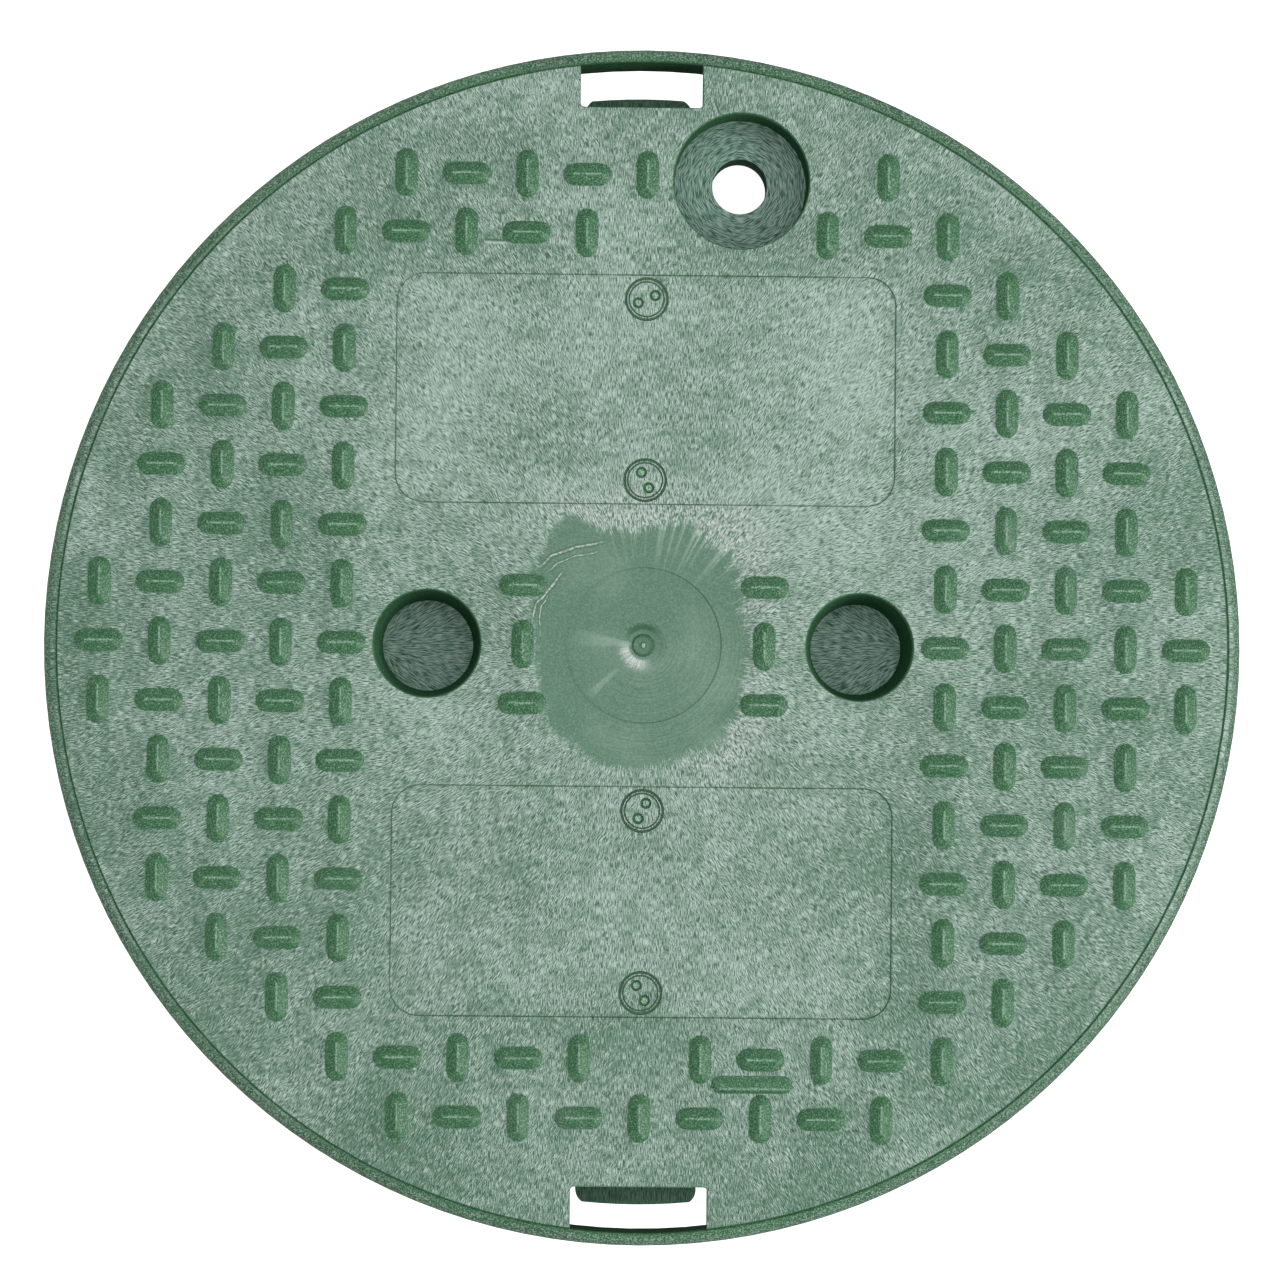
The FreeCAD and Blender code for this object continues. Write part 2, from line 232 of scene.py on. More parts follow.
def rounded_rectangle(half_width, half_height, corner, flats):
    """Points round a rectangle: a quarter circle of even chords at each corner, anticlockwise."""
    turn = np.radians(np.linspace(0, 90, flats + 1))
    quarter = corner * np.stack([np.cos(turn), np.sin(turn)], axis=1)
    x, y = half_width - corner, half_height - corner
    parts = []
    for centre, (cos, sin) in (((x, y), (1, 0)), ((-x, y), (0, 1)),
                               ((-x, -y), (-1, 0)), ((x, -y), (0, -1))):
        turned = np.stack([quarter[:, 0] * cos - quarter[:, 1] * sin,
                           quarter[:, 0] * sin + quarter[:, 1] * cos], axis=1)
        parts.append(np.asarray(centre) + turned)
    return np.concatenate(parts)


def raised(outline, height):
    """An outline's points with a height as their third coordinate."""
    heights = np.broadcast_to(height, (len(outline),))
    return np.column_stack([outline, heights])


def left_normals(outline):
    """Outward step at each corner of a closed outline, so that both its edges move by one unit.

    Each corner takes the sum of its two edges' left normals, divided by one plus their product."""
    edge = np.roll(outline, -1, axis=0) - outline
    edge /= np.linalg.norm(edge, axis=1, keepdims=True)
    after = np.stack([-edge[:, 1], edge[:, 0]], axis=1)
    before = np.roll(after, 1, axis=0)
    return (before + after) / (1 + np.sum(before * after, axis=1, keepdims=True))


def inside(points, outline):
    """True for each point inside a closed outline, by the crossings of a ray along +X."""
    low, high = outline.min(axis=0), outline.max(axis=0)
    found = np.all((points > low) & (points < high), axis=1)
    near = points[found]
    x0, y0 = outline.T
    x1, y1 = np.roll(outline, -1, axis=0).T
    px, py = near[:, :1], near[:, 1:]
    spans = (y0 > py) != (y1 > py)
    rise = np.where(y1 == y0, 1.0, y1 - y0)
    crosses = spans & (px < x0 + (py - y0) * (x1 - x0) / rise)
    found[found] = crosses.sum(axis=1) % 2 == 1
    return found


class Surface:
    """Points and faces gathered from grids, to become one mesh.

    Each point has a skin value, 0 where the plastic shows strands and their painted sheen, 1 where
    it is plain, and more in grooves that get painted shade; and a highlight value, 1 where a bar's
    edge carries a painted highlight."""

    def __init__(self):
        self.points = []
        self.skin = []
        self.ridge = []
        self.faces = []
        self.count = 0

    def add(self, points, faces, skin=0.0, ridge=0.0):
        """Adds points with their values, and the faces between them."""
        points = np.asarray(points, float)
        self.skin.append(np.broadcast_to(skin, points.shape[:-1]).ravel())
        self.ridge.append(np.broadcast_to(ridge, points.shape[:-1]).ravel())
        self.points.append(points.reshape(-1, 3))
        self.faces.extend((np.asarray(face) + self.count).tolist() for face in faces)
        self.count += len(self.points[-1])

    def add_rings(self, rings, closed_top=False, skin=0.0, ridge=0.0):
        """Adds the grid between rings of equal count, each running once round."""
        rings = np.asarray(rings)
        levels, count = rings.shape[:2]
        index = np.arange(levels * count).reshape(levels, count)
        following = np.roll(index, -1, axis=1)
        quads = np.stack([index[:-1], following[:-1], following[1:], index[1:]], axis=-1)
        faces = list(quads.reshape(-1, 4))
        if closed_top:
            faces.append(index[-1])
        if np.ndim(skin):
            skin = np.asarray(skin)[:, None]
        self.add(rings, faces, skin, ridge)

    def mesh(self, name):
        """The gathered surface as a mesh with its two values as attributes."""
        mesh = bpy.data.meshes.new(name)
        mesh.from_pydata(np.concatenate(self.points).tolist(), [], self.faces)
        for label, values in (("skin", self.skin), ("ridge", self.ridge)):
            attribute = mesh.attributes.new(label, "FLOAT", "POINT")
            attribute.data.foreach_set("value", np.concatenate(values).astype(np.float32))
        return mesh


class DeckPlan:
    """What borders the flat of the deck: outlines that it meets and zones that it leaves out."""

    def __init__(self):
        self.outlines = []
        self.zones = []

    def leave_out(self, outer, inner=None):
        """The deck stops at the outer outline, and starts again at the inner one if given."""
        self.outlines.append(outer)
        if inner is not None:
            self.outlines.append(inner)
        self.zones.append((outer[:, :2], None if inner is None else inner[:, :2]))

    def flats(self, border):
        """Triangles between all outlines inside a border, with each corner's own height."""
        outlines = [border] + self.outlines
        points = np.concatenate(outlines)
        edges = []
        first = 0
        for outline in outlines:
            index = first + np.arange(len(outline))
            edges.extend(zip(index.tolist(), np.roll(index, -1).tolist()))
            first += len(outline)
        flat = [Vector(point) for point in (points[:, :2] / MM).tolist()]
        made = delaunay_2d_cdt(flat, edges, [], 0, 1e-6)
        triangles = np.array(made[2])
        sources = made[3]
        if any(not source for source in sources):
            raise RuntimeError("two outlines on the deck cross each other")
        triangles = np.array([source[0] for source in sources])[triangles]
        middle = points[triangles][:, :, :2].mean(axis=1)
        keep = inside(middle, border[:, :2])
        for outer, inner in self.zones:
            dropped = inside(middle, outer)
            if inner is not None:
                dropped &= ~inside(middle, inner)
            keep &= ~dropped
        return points, triangles[keep]


def welded_shell():
    """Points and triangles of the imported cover, with equal corners merged."""
    shell = bmesh.new()
    shell.from_mesh(frame["nodes"][NODE].data)
    bmesh.ops.remove_doubles(shell, verts=shell.verts, dist=WELD)
    shell.verts.ensure_lookup_table()
    points = np.array([vert.co for vert in shell.verts])
    triangles = np.array([[vert.index for vert in face.verts] for face in shell.faces])
    shell.free()
    return points, triangles


def border_loops(triangles):
    """Closed runs of corners along the open edges, with the missing surface on their left."""
    pairs = np.concatenate([triangles[:, [0, 1]], triangles[:, [1, 2]], triangles[:, [2, 0]]])
    code = pairs.min(axis=1) * (pairs.max() + 1) + pairs.max(axis=1)
    _, where, uses = np.unique(code, return_inverse=True, return_counts=True)
    onward = {int(end): int(start) for start, end in pairs[uses[where] == 1]}
    loops = []
    while onward:
        loop = [next(iter(onward))]
        while onward[loop[-1]] != loop[0]:
            loop.append(onward[loop[-1]])
        for corner in loop:
            del onward[corner]
        loops.append(np.array(loop))
    return loops


def soften(surface, loop, round_size, top, lip_highlight=0.0):
    """Quarter-round edge from a wall's top corners up to the deck; returns its outermost ring.

    At angle a the ring stands round_size * (1 - cos a) out of the wall and
    round_size * (1 - sin a) below the deck. The lip value is the painted highlight of its two
    lowest rings."""
    steps = 3
    support = 0.12 * MM
    outward = left_normals(loop[:, :2])
    rings = []
    for angle in np.radians(np.linspace(0, 90, steps + 1)):
        out = (round_size * (1 - math.cos(angle)))[:, None]
        rings.append(raised(loop[:, :2] + outward * out,
                            top - round_size * (1 - math.sin(angle))))
    rings.append(raised(loop[:, :2] + outward * (round_size[:, None] + support), top))
    pale = np.zeros((len(rings), len(loop)))
    pale[:2] = lip_highlight
    surface.add_rings(rings, skin=[1.0, 1.0, 0.9, 0.5, 0.0], ridge=pale)
    return rings[-1]


def add_bar(surface, plan, size, crest_shift, skirt, top, place, upright):
    """One hipped bar from its skirt on the deck up to its crest.

    Every ring is a stadium with the same straight run, so only its radius and height change. Five
    chords make each round end, and the corners at 54 degrees carry the hips. The crest and the
    lower hips carry a painted highlight, and the upper hips a fainter one."""
    bar_length, width, height = size
    half_width = width / 2
    profile = [(half_width + skirt, 0.0, 0.0, 0.0), (half_width - 0.03 * MM, 0.12, 1.0, 0.0),
               (half_width - 0.35 * MM, 0.30, 1.0, 0.2), (0.66 * MM, 0.86, 1.0, 0.25),
               (0.28 * MM, 0.98, 1.0, 0.0), (0.08 * MM, 1.0, 1.0, 1.3)]
    rings, ridge = [], []
    for radius, share, _, pale in profile:
        outline = stadium((bar_length - width) / 2, radius, 5)
        outline[:, 1] += crest_shift * share
        hips = np.tile([0.0, 1.0, 0.0, 0.0, 1.0, 0.0], 2)
        if upright:
            outline = np.stack([-outline[:, 1], outline[:, 0]], axis=1)
        middle = outline.mean(axis=0)
        # Painted highlight: the hips on the front side get it in full, those at the back about a
        # third.
        hips *= np.where(outline[:, 1] < middle[1], 1.0, 0.35)
        on_crest = 1.0 if share > 0.9 else 0.0
        ridge.append(pale * np.maximum(hips, on_crest))
        rings.append(raised(outline + place, top + height * share))
    skin = [level[2] for level in profile]
    surface.add_rings(rings, closed_top=True, skin=skin, ridge=np.array(ridge))
    plan.leave_out(rings[0])


def tread_places(tread, deck):
    """Centre of each tread bar, and whether it stands upright or lies across."""
    rim_inside = COVER_RADIUS - deck.rim_wall
    reach = tread.bar_length / 2 + tread.plate_clearance
    columns = int((rim_inside - tread.edge_margin) / tread.column_pitch)
    straight = (tread.bar_length - tread.bar_width) / 2
    places = []
    for row in range(-tread.rows, tread.rows + 1):
        for column in range(-columns, columns + 1):
            x, y = column * tread.column_pitch, row * tread.row_pitch
            upright = (column + row) % 2 == 0
            beside_gate = abs(column) == 2 and abs(row) <= 1
            over_plates = (abs(x) < deck.plate_width / 2 + reach
                           and abs(y) < deck.plate_offset + deck.plate_height / 2 + reach)
            if math.hypot(x, y) > rim_inside - tread.edge_margin:
                continue
            between_plate_and_slot = column == 0 and abs(row) == 7
            if (over_plates and not beside_gate) or between_plate_and_slot:
                continue
            across, along = abs(x - BOLT_X), abs(y - BOLT_Y)
            if upright:
                along = max(0.0, along - straight)
            else:
                across = max(0.0, across - straight)
            gap = math.hypot(across, along) - tread.bar_width / 2 - deck.recess_radius
            if gap > tread.recess_clearance:
                places.append(((x, y), upright))
    return places


def add_bars(surface, plan, tread, deck, top):
    """All tread bars, and the one long low bar beside the front slot."""
    size = (tread.bar_length, tread.bar_width, tread.bar_height)
    for place, upright in tread_places(tread, deck):
        near_long_bar = abs(place[0] - 19.0 * MM) < 8 * MM and abs(place[1] + 92 * MM) < 9 * MM
        skirt = 0.15 * MM if near_long_bar else 0.35 * MM
        add_bar(surface, plan, size, 0.0, skirt, top, place, upright)
    add_bar(surface, plan, LONG_BAR_SIZE, -0.95 * MM, 0.05 * MM, top, LONG_BAR_PLACE, False)


def add_plate(surface, plan, deck, top, centre_y, strength):
    """Witness line round a bare label plate, which lies one insert step below the deck."""
    step = deck.insert_step
    profile = [(-0.30, 0.0), (-0.06, 0.0), (0.04, 0.5), (0.10, 1.5), (0.20, 1.5), (0.28, 1.05),
               (0.42, 1.0)]
    rings = []
    for inset, drop in profile:
        outline = rounded_rectangle(deck.plate_width / 2 - inset * MM,
                                    deck.plate_height / 2 - inset * MM,
                                    deck.plate_corner - inset * MM, 8)
        outline[:, 1] += centre_y
        rings.append(raised(outline, top - drop * step))
    skin = np.array([0.0, 0.0, 0.7, 1.0, 1.0, 0.5, 0.0]) * strength
    surface.add_rings(rings, skin=skin)
    plan.leave_out(rings[0], rings[-1])


def turned_rings(centre, profile, top, count):
    """Rings of a round feature from (radius, drop) pairs, from the outside in."""
    return [raised(circle(centre, radius, count), top - drop) for radius, drop in profile]


def add_plug(surface, plan, deck, top, centre, dimples):
    """Key plug flush with its plate: two sunk rings with two small round dimples inside them."""
    radius = deck.plug_radius
    # Where the skin value runs over 1, the rings' grooves get painted shade.
    groove = [(0.14, 0.0, 0.0), (0.06, 0.0, 0.4), (0.0, 0.04, 1.0), (-0.12, 0.24, 1.6),
              (-0.38, 0.26, 1.6), (-0.50, 0.08, 0.8), (-0.56, 0.04, 0.1), (-0.74, 0.04, 0.1),
              (-0.80, 0.20, 1.5), (-1.02, 0.20, 1.5), (-1.12, 0.0, 0.2), (-1.22, 0.0, 0.0)]
    profile = [(radius + out * MM, drop * MM) for out, drop, _ in groove]
    rings = turned_rings(centre, profile, top, 48)
    surface.add_rings(rings, skin=[skin for _, _, skin in groove])
    plan.leave_out(rings[0], rings[-1])
    spacing, angle = dimples
    for side in (1, -1):
        turn = math.radians(angle)
        spot = (centre[0] + side * spacing / 2 * math.cos(turn),
                centre[1] + side * spacing / 2 * math.sin(turn))
        profile = [(1.28 * MM, 0.0), (1.18 * MM, 0.03 * MM), (1.02 * MM, 0.30 * MM),
                   (0.80 * MM, 0.34 * MM), (0.62 * MM, 0.16 * MM), (0.15 * MM, 0.12 * MM)]
        rings = turned_rings(spot, profile, top, 20)
        # Painted shade in each dimple's sunk ring, and a painted highlight on its raised middle.
        surface.add_rings(rings, closed_top=True, skin=[0.0, 0.9, 1.5, 1.5, 1.0, 1.0],
                          ridge=np.array([[0.0], [0.0], [0.0], [0.0], [1.6], [2.2]]))
        plan.leave_out(rings[0])


def add_gate(surface, plan, deck, top):
    """Round insert's witness line, the gate dish and the small nub that the gate leaves."""
    step = deck.insert_step
    line = [(0.50, 0.0), (0.20, 0.0), (0.06, 0.6), (-0.06, 1.15), (-0.18, 1.15), (-0.30, 1.02),
            (-0.60, 1.0), (-0.90, 1.0)]
    rings = turned_rings((0, 0), [(deck.gate_radius + out * MM, drop * step)
                                  for out, drop in line], top, 96)
    surface.add_rings(rings, skin=[0.0, 0.0, 0.27, 0.38, 0.36, 0.2, 0.0, 0.0])
    plan.leave_out(rings[0], rings[-1])
    floor = step + deck.dish_depth
    dish = [(deck.dish_radius + 0.55 * MM, step), (deck.dish_radius + 0.20 * MM, step),
            (deck.dish_radius - 0.25 * MM, step + 0.10 * deck.dish_depth),
            (deck.dish_floor + 0.45 * MM, step + 0.85 * deck.dish_depth),
            (deck.dish_floor + 0.10 * MM, floor), (2.35 * MM, floor),
            (2.22 * MM, floor - 0.28 * MM), (2.00 * MM, floor - 0.34 * MM),
            (1.82 * MM, floor - 0.20 * MM), (1.30 * MM, floor - 0.14 * MM),
            (0.62 * MM, floor - 0.16 * MM), (0.50 * MM, floor - 0.34 * MM),
            (0.40 * MM, floor - 0.42 * MM), (0.10 * MM, floor - 0.46 * MM)]
    rings = turned_rings((0, 0), dish, top, 48)
    # Painted shade on a ring round the nub, and a painted highlight on its middle pip.
    surface.add_rings(rings, closed_top=True,
                      skin=[0.0, 0.0, 0.1, 0.2, 0.3, 1.0, 1.5, 1.0, 0.62, 0.62, 0.8, 1.0, 1.0,
                            1.0],
                      ridge=np.array([[0.0]] * 11 + [[0.4], [3.0], [3.0]]))
    plan.leave_out(rings[0])


def cover_mesh(tread, deck):
    """The whole cover as one closed mesh.

    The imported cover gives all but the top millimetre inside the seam's groove. Its open edges
    there, round the sockets, the recess and the slots, get soft edges, and the flat of the deck is
    laid out again between those edges, the bars, the plates, the plugs and the gate."""
    top = HIGH.z - tread.bar_height
    points, triangles = welded_shell()
    corners = points[triangles]
    reach = np.hypot(corners[:, :, 0], corners[:, :, 1]).max(axis=1)
    seam_inside = np.hypot(*points[points[:, 2] > top - 0.01 * MM, :2].T)
    groove_edge = seam_inside[seam_inside < COVER_RADIUS - deck.rim_wall].max()
    on_deck = (corners[:, :, 2].min(axis=1) > top - DECK_BITE) & (reach < groove_edge + 0.02 * MM)
    shell = triangles[~on_deck]
    surface = Surface()
    plan = DeckPlan()
    border = None
    for loop in border_loops(shell):
        outline = points[loop]
        radius = np.hypot(outline[:, 0], outline[:, 1])
        if radius.max() > groove_edge - 1 * MM:
            round_size = np.where(radius > groove_edge - NEAR, deck.seam_round, deck.slot_round)
            # Painted highlight along the lip of the front slot's edge on the deck.
            lip_highlight = FRONT_LIP_HIGHLIGHT * ((outline[:, 1] < 0) & (radius < groove_edge - 5 * MM))
            border = soften(surface, outline, round_size, top, lip_highlight)
        else:
            round_size = np.full(len(loop), deck.mouth_round)
            plan.leave_out(soften(surface, outline, round_size, top))
        points[loop, 2] = top - round_size
    radius = np.hypot(points[:, 0], points[:, 1])
    rim_crown = (radius > groove_edge - 1 * MM) & (points[:, 2] > top - 0.35 * MM)
    surface.add(points, shell, skin=np.where(rim_crown, 0.0, 1.0))
    add_bars(surface, plan, tread, deck, top)
    for side, strength in ((1, 0.80), (-1, 0.82)):
        add_plate(surface, plan, deck, top, side * deck.plate_offset, strength)
    add_gate(surface, plan, deck, top)
    plug_top = top - deck.insert_step
    for centre_y, spacing, angle in PLUGS:
        add_plug(surface, plan, deck, plug_top, (0, centre_y * MM), (spacing * MM, angle))
    flat_points, flat_triangles = plan.flats(border)
    surface.add(flat_points, flat_triangles)
    return surface.mesh("moulded_cover")


def close_and_smooth(mesh, sharp_deg):
    """Welds the gathered surfaces, turns their faces outward and leaves no open edge."""
    work = bmesh.new()
    work.from_mesh(mesh)
    bmesh.ops.remove_doubles(work, verts=work.verts, dist=WELD)
    loose = [vert for vert in work.verts if not vert.link_faces]
    bmesh.ops.delete(work, geom=loose, context="VERTS")
    bmesh.ops.recalc_face_normals(work, faces=work.faces)
    open_edges = sum(not edge.is_manifold for edge in work.edges)
    work.to_mesh(mesh)
    work.free()
    if open_edges:
        raise RuntimeError("%d edges of the cover are open" % open_edges)
    mesh.shade_smooth()
    mesh.set_sharp_from_angle(angle=math.radians(sharp_deg))


class Recipe:
    """Short calls that add and link the nodes of one material."""

    def __init__(self, name):
        self.material = bpy.data.materials.new(name)
        self.material.use_nodes = True
        self.tree = self.material.node_tree
        self.tree.nodes.clear()
        self.output = self.tree.nodes.new("ShaderNodeOutputMaterial")
        self.shader = self.tree.nodes.new("ShaderNodeBsdfPrincipled")
        self.tree.links.new(self.shader.outputs[0], self.output.inputs[0])

    def put(self, socket, value):
        """Links a socket, or sets the socket's own value."""
        if isinstance(value, bpy.types.NodeSocket):
            self.tree.links.new(value, socket)
        elif value is not None:
            socket.default_value = value

    def node(self, kind, inputs=(), **settings):
        """Adds a node with its settings, and inputs by name or place."""
        made = self.tree.nodes.new(kind)
        for name, value in settings.items():
            setattr(made, name, value)
        for name, value in dict(inputs).items():
            self.put(made.inputs[name], value)
        return made

    def math(self, operation, first, second=None, third=None, clamp=False):
        """One number from up to three."""
        made = self.node("ShaderNodeMath", operation=operation, use_clamp=clamp)
        for place, value in enumerate((first, second, third)):
            self.put(made.inputs[place], value)
        return made.outputs[0]

    def times(self, first, *others):
        """Product of two or more numbers."""
        for other in others:
            first = self.math("MULTIPLY", first, other)
        return first

    def scaled(self, value, factor, base):
        """A number times a factor, plus a base."""
        return self.math("MULTIPLY_ADD", value, factor, base)

    def parts(self, vector):
        """The three numbers of a vector."""
        return self.node("ShaderNodeSeparateXYZ", {0: vector}).outputs

    def vector(self, operation, first, second=None, scale=None):
        """One vector, or a number where the operation gives one."""
        made = self.node("ShaderNodeVectorMath", {0: first}, operation=operation)
        if second is not None:
            self.put(made.inputs[1], second)
        if scale is not None:
            self.put(made.inputs["Scale"], scale)
        return made.outputs["Value" if operation in ("LENGTH", "DOT_PRODUCT", "DISTANCE")
                            else "Vector"]

    def noise(self, place, scale, detail=2.0, roughness=0.5, solid=False, output="Fac"):
        """Soft noise, near 0.5; the same at every height unless it is solid."""
        made = self.node("ShaderNodeTexNoise", {
            "Vector": place, "Scale": scale, "Detail": detail, "Roughness": roughness},
            noise_dimensions="3D" if solid else "2D")
        return made.outputs[output]

    def rise(self, value, low, high, start=0.0, end=1.0):
        """Smooth step from start to end while the value goes from low to high."""
        made = self.node("ShaderNodeMapRange", {
            "Value": value, "From Min": low, "From Max": high, "To Min": start, "To Max": end},
            interpolation_type="SMOOTHSTEP", clamp=True)
        return made.outputs["Result"]

    def spot(self, flat_place, centre, inner, outer):
        """One inside a round spot, fading to nothing at its outer radius; lengths in mm."""
        away = self.vector("DISTANCE", flat_place, (*centre, 0.0))
        return self.rise(away, inner, outer, 1.0, 0.0)

    def sector(self, heading, angle, low, high):
        """One along a heading from the middle, fading where the cosine falls from high to low."""
        turn = math.radians(angle)
        along = self.vector("DOT_PRODUCT", heading, (math.cos(turn), math.sin(turn), 0.0))
        return self.rise(along, low, high)

    def mix_vector(self, share, first, second):
        """Vector between two, by share."""
        made = self.node("ShaderNodeMix", data_type="VECTOR", clamp_factor=True)
        self.put(made.inputs["Factor"], share)
        self.put(made.inputs[4], first)
        self.put(made.inputs[5], second)
        return made.outputs[1]

    def mix(self, share, first, second):
        """Colour between two, by share."""
        made = self.node("ShaderNodeMix", data_type="RGBA", clamp_factor=True)
        self.put(made.inputs["Factor"], share)
        for socket, value in zip((made.inputs[6], made.inputs[7]), (first, second)):
            if not isinstance(value, bpy.types.NodeSocket):
                value = (*value, 1.0)
            self.put(socket, value)
        return made.outputs[2]


def melt_flow(recipe, place, flat_place, sunk):
    """Direction in which the melt ran, as a vector over the surface.

    It runs away from the gate, bent by a slow noise and unsettled by a fast one. In the sunk
    floors it fans out from the outer side of each socket, and goes round the bolt hole."""
    middle = (0.5, 0.5, 0.5)
    wander = recipe.noise(place, 0.055, detail=0.0, output="Color")
    wander = recipe.vector("SUBTRACT", wander, middle)
    flow = recipe.vector("ADD", flat_place, recipe.vector("SCALE", wander, scale=26.0))
    for x, y, round_hole in ((-SOCKET_OUTSIDE, 0.0, False), (SOCKET_OUTSIDE, 0.0, False),
                             (BOLT_X / MM, BOLT_Y / MM, True)):
        away = recipe.vector("SUBTRACT", flat_place, (x, y, 0.0))
        near = recipe.rise(recipe.vector("LENGTH", away), 24.0, 25.0, 1.0, 0.0)
        if round_hole:
            away = recipe.vector("CROSS_PRODUCT", away, (0.0, 0.0, 1.0))
        flow = recipe.mix_vector(recipe.times(near, sunk), flow, away)
    swirl = recipe.noise(place, 0.38, detail=0.0, output="Color")
    swirl = recipe.vector("SUBTRACT", swirl, middle)
    unrest = recipe.times(recipe.vector("LENGTH", flow), recipe.scaled(sunk, -0.2, 0.85))
    return recipe.vector("ADD", flow, recipe.vector("SCALE", swirl, scale=unrest))


def hollow_share(recipe, flat_place, reach):
    """One within the sockets, the bolt recess and the two slots, which it meets with a margin."""
    aside = recipe.vector("DISTANCE", recipe.vector("ABSOLUTE", flat_place),
                          (SOCKET_PLACE, 0.0, 0.0))
    share = recipe.rise(aside, 12.2, 12.0)
    bolt = recipe.vector("DISTANCE", flat_place, (BOLT_X / MM, BOLT_Y / MM, 0.0))
    share = recipe.math("MAXIMUM", share, recipe.rise(bolt, 15.2, 15.0))
    sideways = recipe.vector("LENGTH", recipe.vector("MULTIPLY", flat_place, (1.0, 0.0, 0.0)))
    slots = recipe.times(recipe.rise(sideways, 15.2, 15.0), recipe.rise(reach, 111.0, 111.2),
                         recipe.rise(reach, 124.4, 124.2))
    return recipe.math("MAXIMUM", share, slots)


def strands(recipe, place, flow):
    """Fine strands that follow the flow, as a noise near 0.5.

    Six noises, each stretched along its own direction, are weighted by how well that direction
    fits the flow: the weight is the fourth power of the cosine of twice the angle between."""
    directions = 6
    stretch = (1.60, 0.130, 1.0)
    x, y = recipe.parts(flow)[:2]
    xx, yy = recipe.times(x, x), recipe.times(y, y)
    size = recipe.math("ADD", recipe.math("ADD", xx, yy), 0.01)
    double_cos = recipe.math("DIVIDE", recipe.math("SUBTRACT", xx, yy), size)
    double_sin = recipe.math("DIVIDE", recipe.times(x, y, 2.0), size)
    total, weights = 0.0, 0.0001
    for number in range(directions):
        angle = math.pi * number / directions
        turned = recipe.node("ShaderNodeMapping", {
            "Vector": place, "Location": (3.7 * number, 5.1 * number, 0.0),
            "Rotation": (0.0, 0.0, angle), "Scale": stretch}, vector_type="TEXTURE").outputs[0]
        grain = recipe.noise(turned, 1.0, detail=1.0, roughness=0.6)
        fit = recipe.math("ADD", recipe.times(double_cos, math.cos(2 * angle)),
                          recipe.times(double_sin, math.sin(2 * angle)))
        fit = recipe.math("POWER", recipe.math("MAXIMUM", fit, 0.0), 4.0)
        total = recipe.scaled(grain, fit, total)
        weights = recipe.math("ADD", weights, fit)
    return recipe.math("DIVIDE", total, weights)


def skin_line(recipe, finish, flat_place, field, start, end, darkness, paleness):
    """Fine dark line in the skin from start to end, in mm, with a pale one 0.55 mm below it."""
    start, end = Vector((*start, 0.0)), Vector((*end, 0.0))
    along = (end - start).normalized()
    half = (end - start).length / 2
    from_middle = recipe.vector("SUBTRACT", flat_place, tuple((start + end) / 2))
    run = recipe.math("ABSOLUTE", recipe.vector("DOT_PRODUCT", from_middle, tuple(along)))
    within = recipe.rise(run, half, 0.7 * half)
    aside = recipe.vector("DOT_PRODUCT", from_middle, (-along.y, along.x, 0.0))
    dark = recipe.rise(recipe.math("ABSOLUTE", aside), 0.10, 0.30, darkness, 0.0)
    light = recipe.rise(recipe.math("ABSOLUTE", recipe.math("ADD", aside, 0.55)), 0.10, 0.40,
                        paleness, 0.0)
    field = recipe.mix(recipe.times(within, dark), field, finish.wall)
    return recipe.mix(recipe.times(within, light), field, finish.glint)


def deck_skin(recipe, finish, place, flat_place, reach, grain, fine):
    """Deck colour: pale strands with thin dark gaps, cloudy over the whole deck."""
    clouds = recipe.noise(place, 0.030, detail=1.0, roughness=0.6)
    mottle = recipe.noise(place, 0.22, detail=2.0, roughness=0.65)
    lean = recipe.vector("DOT_PRODUCT", place, (0.0002, 0.0006, 0.0))
    pale = recipe.math("ADD", lean, recipe.rise(reach, 98.0, 116.0, -0.36, -0.40))
    pale = recipe.scaled(clouds, 0.70, pale)
    for side in (1, -1):
        away = recipe.vector("SUBTRACT", flat_place, (0.0, PLATE_PLACE * side, 0.0))
        across, along = recipe.parts(recipe.vector("ABSOLUTE", away))[:2]
        on_plate = recipe.times(recipe.rise(across, 44.0, 56.0, 1.0, 0.0),
                                recipe.rise(along, 18.0, 28.0, 1.0, 0.0))
        pale = recipe.scaled(on_plate, 0.16, pale)
    for centre, inner, outer, share in PALE_SPOTS:
        pale = recipe.scaled(recipe.spot(flat_place, centre, inner, outer), share, pale)
    pale = recipe.scaled(recipe.math("SUBTRACT", mottle, 0.5), 0.34, pale)

    outline = recipe.math("ABSOLUTE", recipe.math("SUBTRACT", grain, 0.465))
    gaps = recipe.rise(outline, 0.004, 0.028, 0.24, 0.0)
    outline = recipe.math("ABSOLUTE", recipe.math("SUBTRACT", grain, 0.545))
    hairs = recipe.rise(outline, 0.004, 0.026, 0.16, 0.0)
    tone = recipe.scaled(grain, 4.7, -1.86)
    tone = recipe.scaled(recipe.math("SUBTRACT", fine, 0.5), 0.8, tone)
    tone = recipe.math("SUBTRACT", recipe.math("ADD", tone, pale),
                       recipe.math("SUBTRACT", gaps, hairs))
    field = recipe.mix(recipe.math("MULTIPLY", tone, 2.0, clamp=True), finish.shade, finish.field)
    field = recipe.mix(recipe.math("MULTIPLY_ADD", tone, 2.0, -1.0, clamp=True), field,
                       finish.strand)
    for line in SKIN_LINES:
        field = skin_line(recipe, finish, flat_place, field, *line)
    green = recipe.math("SUBTRACT", recipe.rise(mottle, 0.56, 0.36), recipe.times(pale, 1.2),
                        clamp=True)
    return recipe.mix(recipe.times(green, 0.30), field, finish.gate)


